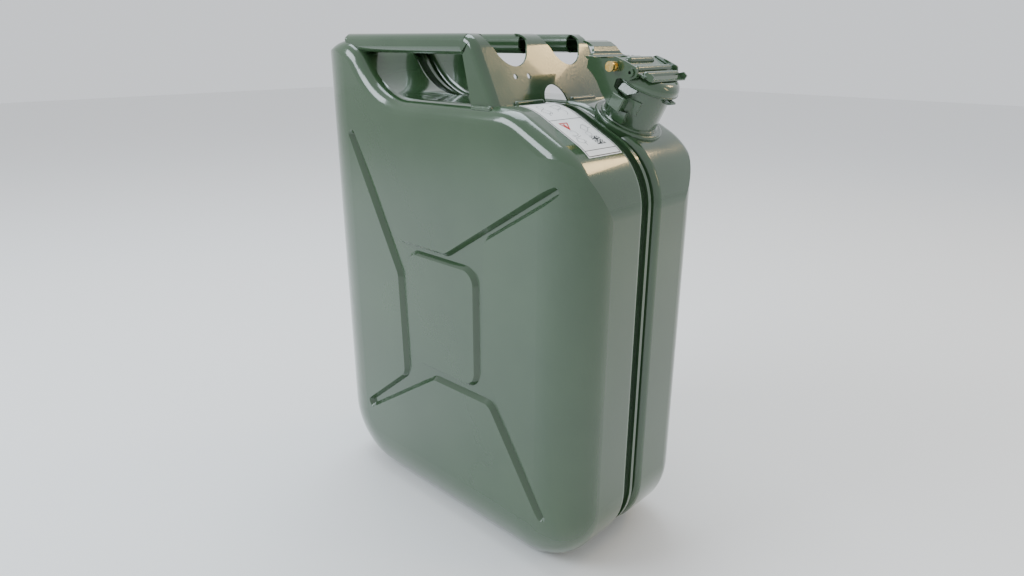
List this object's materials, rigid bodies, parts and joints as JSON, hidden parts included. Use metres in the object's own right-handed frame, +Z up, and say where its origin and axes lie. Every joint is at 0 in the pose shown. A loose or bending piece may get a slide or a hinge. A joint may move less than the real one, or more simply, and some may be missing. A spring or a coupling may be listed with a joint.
{
  "type": "fuel can",
  "caption": "Pressed-steel fuel can with a three-bar carrying handle, an offset pouring neck and a hinged cam-lever cap with a push-in lock pin.",
  "frame": {"origin": "on the floor, below the middle of the tank", "axes": "+Z up, +X towards the pouring neck, -Y towards the labelled face"},
  "size_m": [0.345, 0.165, 0.463],
  "materials": {
    "olive_enamel": "glossy dark olive-green enamel with slight orange peel",
    "zinc_plated_steel": "bright zinc plating",
    "black_rubber": "soft nitrile rubber, satin",
    "yellow_zinc": "yellow passivated zinc",
    "label_film": "white printed film, slightly glossy"
  },
  "bodies": {
    "can": {"right_half_shell": "olive_enamel", "left_half_shell": "olive_enamel", "seam_weld": "olive_enamel", "handle_pressing": "olive_enamel", "handle_rear_welds": "olive_enamel", "handle_front_welds": "olive_enamel", "neck_tube": "olive_enamel", "neck_saddle": "olive_enamel", "neck_weld": "olive_enamel", "hinge_bracket": "olive_enamel", "near_keeper": "olive_enamel", "far_keeper": "olive_enamel", "near_latch_lug": "olive_enamel", "far_latch_lug": "olive_enamel", "front_lug": "olive_enamel", "hinge_pin": "olive_enamel", "vent_tube": "zinc_plated_steel", "label_sticker": "label_film"},
    "cap": {"cap_shell": "olive_enamel", "cap_gasket": "black_rubber", "gasket_retainer": "zinc_plated_steel", "centre_rivet": "zinc_plated_steel", "cap_yoke": "olive_enamel", "pivot_rivets": "olive_enamel"},
    "lever": {"lever": "olive_enamel", "lock_bush": "yellow_zinc"},
    "lock_pin": {"lock_pin": "yellow_zinc"}
  },
  "joints": [
    {"name": "cap_hinge", "type": "hinge", "parent": "can", "child": "cap", "pos_m": [0.10845, 0.035, 0.4375], "axis": [0, -1, 0], "range_deg": [0, 80]},
    {"name": "lever_pivot", "type": "hinge", "parent": "cap", "child": "lever", "pos_m": [0.14197, 0.035, 0.43389], "axis": [0, 1, 0], "range_deg": [0, 40]},
    {"name": "lock_pin_slide", "type": "slide", "parent": "lever", "child": "lock_pin", "axis": [0, 1, 0], "range_m": [0, 0.0035]}
  ]
}
